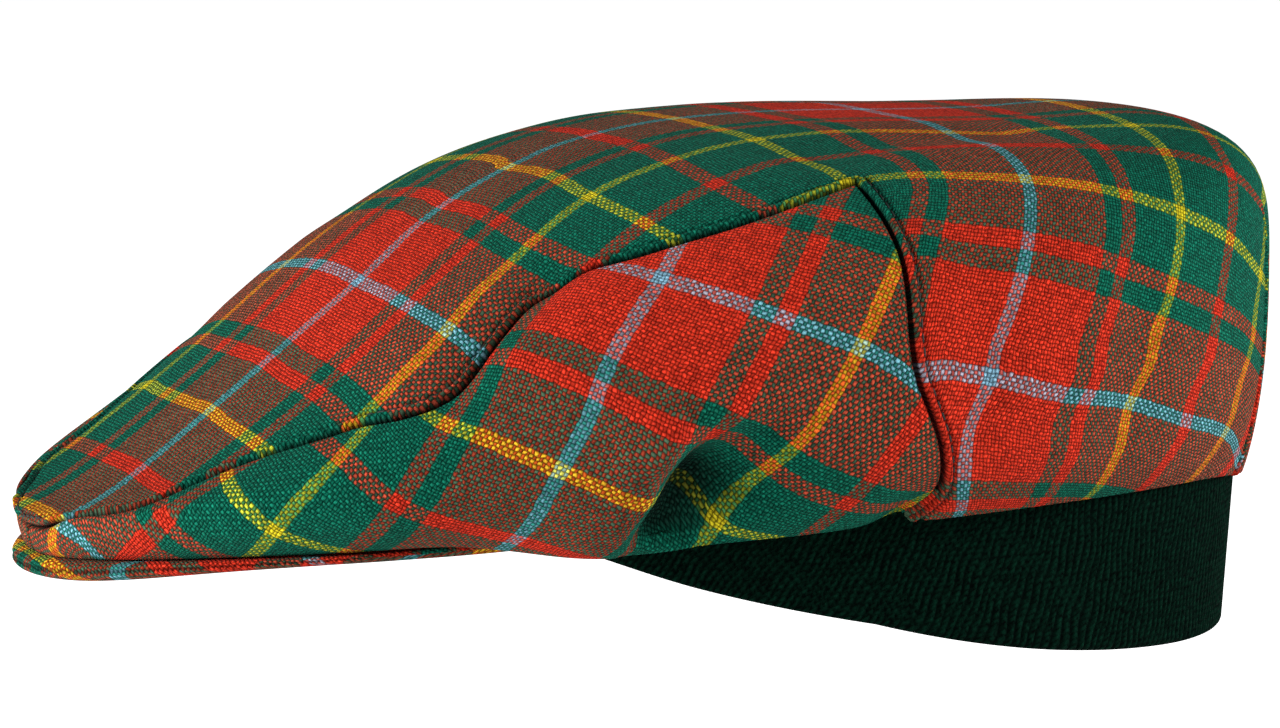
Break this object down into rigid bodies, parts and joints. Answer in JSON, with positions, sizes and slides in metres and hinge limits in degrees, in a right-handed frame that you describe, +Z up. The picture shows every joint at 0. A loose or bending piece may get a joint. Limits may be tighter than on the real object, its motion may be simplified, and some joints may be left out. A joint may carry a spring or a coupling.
{
  "type": "flat cap",
  "caption": "Tartan wool flat cap with a short cloth-covered peak and a ribbed knit band pulled down below the rim to cover the ears and neck.",
  "frame": {"origin": "middle of the head opening, on the plane of its rim, where the head holds the cap", "axes": "+Z up through the top of the cap, +Y towards the back of the head, so the peak points along -Y, and +X towards the wearer's left"},
  "size_m": [0.1999, 0.281, 0.1141],
  "materials": {
    "tartan_cloth": "plain-woven wool tartan in red, green, blue and yellow",
    "knit": "dark green ribbed knit"
  },
  "bodies": {
    "root": {"crown_panel": "tartan_cloth", "side_panel_left": "tartan_cloth", "side_panel_right": "tartan_cloth", "peak": "tartan_cloth", "knit_band": "knit"}
  },
  "joints": []
}
